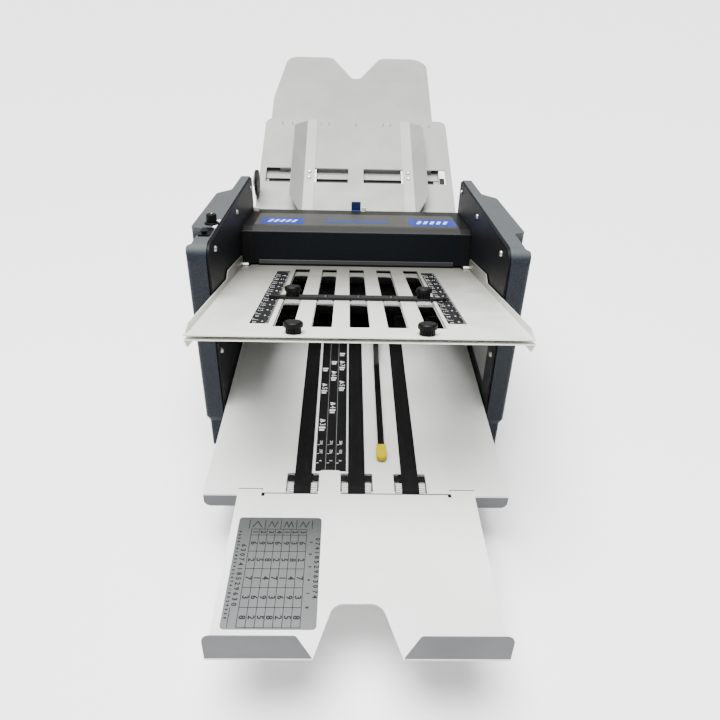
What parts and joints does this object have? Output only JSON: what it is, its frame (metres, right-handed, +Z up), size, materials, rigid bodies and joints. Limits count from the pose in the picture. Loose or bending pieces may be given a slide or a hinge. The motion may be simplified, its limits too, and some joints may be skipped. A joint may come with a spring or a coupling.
{
  "type": "paper folding machine",
  "caption": "Table-top paper folding machine: slotted fold tables front and rear, roller train between side plates, sloping feed table with guides, belt conveyor and hook-on tray.",
  "frame": {"origin": "middle of the whole footprint, on the floor under the rubber feet", "axes": "+Y from the delivery end to the feed end, +Z up, +X to the right seen from the delivery end"},
  "size_m": [0.428, 1.261, 0.3906],
  "materials": {
    "belt_rubber": "matte",
    "black_paint": "satin",
    "blue_plastic": "gloss",
    "board_green": "satin",
    "bright_steel": "ground",
    "cover_plastic": "fine texture",
    "cream_nylon": "satin",
    "dark_plastic": "satin",
    "foot_rubber": "matte",
    "hood_paint": "satin",
    "motor_cast": "cast",
    "tyre_rubber": "ground",
    "white_plastic": "satin",
    "white_powder": "satin powder coat",
    "yellow_plastic": "satin",
    "zinc_steel": "zinc plated"
  },
  "bodies": {
    "frame": {"side_plate_left": "black_paint", "side_plate_right": "black_paint", "side_cover_left": "cover_plastic", "side_cover_right": "cover_plastic", "base_pan": "black_paint", "tie_bars": "zinc_steel", "rubber_feet": "foot_rubber", "frame_screws": "zinc_steel", "roller_bearings": "white_plastic", "roller_cover": "hood_paint", "cover_lip": "dark_plastic", "nylon_caps": "cream_nylon", "retard_holder": "zinc_steel", "table_pins": "zinc_steel", "feed_table": "white_powder", "table_brackets": "white_powder", "conveyor_plate": "white_powder", "conveyor_belt_left": "belt_rubber", "conveyor_belt_center": "belt_rubber", "conveyor_belt_right": "belt_rubber", "label_clip": "white_plastic", "motor": "motor_cast", "drive_belt": "belt_rubber", "left_belts": "belt_rubber", "power_inlet": "dark_plastic", "control_board": "board_green", "switch_bezel": "dark_plastic"},
    "fold_roller_1": {"fold_roller_1": "bright_steel"},
    "fold_roller_2": {"fold_roller_2": "bright_steel"},
    "fold_roller_3": {"fold_roller_3": "bright_steel"},
    "fold_roller_4": {"fold_roller_4": "bright_steel"},
    "feed_roller": {"feed_shaft": "bright_steel", "feed_tyres": "tyre_rubber"},
    "motor_pulley": {"motor_pulley": "bright_steel"},
    "conveyor_front_roller": {"conveyor_front_rollers": "white_plastic"},
    "conveyor_rear_roller": {"conveyor_rear_rollers": "white_plastic"},
    "front_table": {"front_table_upper": "white_powder", "front_table_lower": "white_powder"},
    "front_stop": {"front_stop_bar": "black_paint"},
    "front_stop_knob_left": {"front_stop_knob_left": "dark_plastic"},
    "front_stop_knob_right": {"front_stop_knob_right": "dark_plastic"},
    "front_table_knob_left": {"front_table_knob_left": "dark_plastic"},
    "front_table_knob_right": {"front_table_knob_right": "dark_plastic"},
    "rear_table": {"rear_table_upper": "white_powder", "rear_table_lower": "white_powder"},
    "rear_stop": {"rear_stop_bar": "black_paint"},
    "rear_stop_knob_left": {"rear_stop_knob_left": "dark_plastic"},
    "rear_stop_knob_right": {"rear_stop_knob_right": "dark_plastic"},
    "guide_left": {"guide_left": "white_powder", "guide_screws_left": "zinc_steel"},
    "guide_right": {"guide_right": "white_powder", "guide_screws_right": "zinc_steel"},
    "extension": {"table_extension": "white_powder"},
    "skew_dial": {"skew_dial": "dark_plastic"},
    "release_lever": {"release_lever": "blue_plastic"},
    "hold_down": {"hold_down_strip": "black_paint", "hold_down_tip": "yellow_plastic"},
    "stacker_tray": {"stacker_tray": "white_powder"},
    "power_rocker": {"power_rocker": "dark_plastic"},
    "speed_knob": {"speed_knob": "dark_plastic"}
  },
  "joints": [
    {"name": "fold_roller_1_spin", "type": "hinge", "parent": "frame", "child": "fold_roller_1", "pos_m": [0, -0.00068, 0.19211], "axis": [1, 0, 0], "continuous": true},
    {"name": "fold_roller_2_spin", "type": "hinge", "parent": "frame", "child": "fold_roller_2", "pos_m": [0, -0.0083, 0.16309], "axis": [1, 0, 0], "continuous": true},
    {"name": "fold_roller_3_spin", "type": "hinge", "parent": "frame", "child": "fold_roller_3", "pos_m": [0, -0.01453, 0.13375], "axis": [1, 0, 0], "continuous": true},
    {"name": "fold_roller_4_spin", "type": "hinge", "parent": "frame", "child": "fold_roller_4", "pos_m": [0, -0.00677, 0.10477], "axis": [1, 0, 0], "continuous": true},
    {"name": "feed_roller_spin", "type": "hinge", "parent": "frame", "child": "feed_roller", "pos_m": [0, 0.10251, 0.198], "axis": [1, 0, 0], "continuous": true},
    {"name": "motor_pulley_spin", "type": "hinge", "parent": "frame", "child": "motor_pulley", "pos_m": [0, 0.06651, 0.082], "axis": [1, 0, 0], "continuous": true},
    {"name": "conveyor_front_spin", "type": "hinge", "parent": "frame", "child": "conveyor_front_roller", "pos_m": [0, -0.41089, 0.071], "axis": [1, 0, 0], "continuous": true},
    {"name": "conveyor_rear_spin", "type": "hinge", "parent": "frame", "child": "conveyor_rear_roller", "pos_m": [0, -0.06649, 0.071], "axis": [1, 0, 0], "continuous": true},
    {"name": "front_table_draw", "type": "slide", "parent": "frame", "child": "front_table", "axis": [0, -0.9673, 0.2538], "range_m": [0, 0.03]},
    {"name": "front_stop_set", "type": "slide", "parent": "front_table", "child": "front_stop", "axis": [0, 0.9673, -0.2538], "range_m": [-0.11, 0.165]},
    {"name": "front_stop_knob_left_turn", "type": "hinge", "parent": "front_stop", "child": "front_stop_knob_left", "pos_m": [-0.081, -0.25193, 0.24562], "axis": [0, 0.2538, 0.9673], "range_deg": [0, 180]},
    {"name": "front_table_knob_left_turn", "type": "hinge", "parent": "front_table", "child": "front_table_knob_left", "pos_m": [-0.068, -0.4004, 0.28457], "axis": [0, 0.2538, 0.9673], "range_deg": [0, 180]},
    {"name": "front_stop_knob_right_turn", "type": "hinge", "parent": "front_stop", "child": "front_stop_knob_right", "pos_m": [0.081, -0.25193, 0.24562], "axis": [0, 0.2538, 0.9673], "range_deg": [0, 180]},
    {"name": "front_table_knob_right_turn", "type": "hinge", "parent": "front_table", "child": "front_table_knob_right", "pos_m": [0.068, -0.4004, 0.28457], "axis": [0, 0.2538, 0.9673], "range_deg": [0, 180]},
    {"name": "rear_table_draw", "type": "slide", "parent": "frame", "child": "rear_table", "axis": [0, 0.9781, -0.2079], "range_m": [0, 0.04]},
    {"name": "rear_stop_set", "type": "slide", "parent": "rear_table", "child": "rear_stop", "axis": [0, 0.9781, -0.2079], "range_m": [-0.11, 0.055]},
    {"name": "rear_stop_knob_left_turn", "type": "hinge", "parent": "rear_stop", "child": "rear_stop_knob_left", "pos_m": [-0.081, 0.20538, 0.1054], "axis": [0, 0.2079, 0.9781], "range_deg": [0, 180]},
    {"name": "rear_stop_knob_right_turn", "type": "hinge", "parent": "rear_stop", "child": "rear_stop_knob_right", "pos_m": [0.081, 0.20538, 0.1054], "axis": [0, 0.2079, 0.9781], "range_deg": [0, 180]},
    {"name": "guide_left_slide", "type": "slide", "parent": "frame", "child": "guide_left", "axis": [1, 0, 0], "range_m": [-0.04, 0.044]},
    {"name": "guide_right_slide", "type": "slide", "parent": "frame", "child": "guide_right", "axis": [1, 0, 0], "range_m": [-0.044, 0.04]},
    {"name": "extension_slide", "type": "slide", "parent": "frame", "child": "extension", "axis": [0, 0.9219, 0.3875], "range_m": [-0.1, 0]},
    {"name": "skew_dial_turn", "type": "hinge", "parent": "frame", "child": "skew_dial", "pos_m": [-0.181, 0.19463, 0.2445], "axis": [1, 0, 0], "range_deg": [-60, 60]},
    {"name": "release_lever_turn", "type": "hinge", "parent": "frame", "child": "release_lever", "pos_m": [0, 0.14101, 0.207], "axis": [1, 0, 0], "range_deg": [-30, 0]},
    {"name": "hold_down_lift", "type": "hinge", "parent": "frame", "child": "hold_down", "pos_m": [0.031, -0.04249, 0.127], "axis": [-1, 0, 0], "range_deg": [0, 24]},
    {"name": "tray_lift", "type": "slide", "parent": "frame", "child": "stacker_tray", "axis": [0, 0, 1], "range_m": [0, 0.03]},
    {"name": "power_rocker_tip", "type": "hinge", "parent": "frame", "child": "power_rocker", "pos_m": [-0.19, -0.20349, 0.30998], "axis": [1, 0, 0], "range_deg": [0, 18]},
    {"name": "speed_knob_turn", "type": "hinge", "parent": "frame", "child": "speed_knob", "pos_m": [-0.19, -0.16349, 0.30604], "axis": [0, 0.098, 0.9952], "range_deg": [-135, 135]}
  ],
  "couplings": [
    {"joint": "fold_roller_1_spin", "follows": "fold_roller_2_spin", "ratio": -1},
    {"joint": "fold_roller_3_spin", "follows": "fold_roller_2_spin", "ratio": -1},
    {"joint": "fold_roller_4_spin", "follows": "fold_roller_2_spin", "ratio": 1},
    {"joint": "feed_roller_spin", "follows": "fold_roller_2_spin", "ratio": -0.6},
    {"joint": "motor_pulley_spin", "follows": "fold_roller_2_spin", "ratio": 1.2727},
    {"joint": "conveyor_rear_spin", "follows": "fold_roller_2_spin", "ratio": 1},
    {"joint": "conveyor_front_spin", "follows": "fold_roller_2_spin", "ratio": 1}
  ]
}
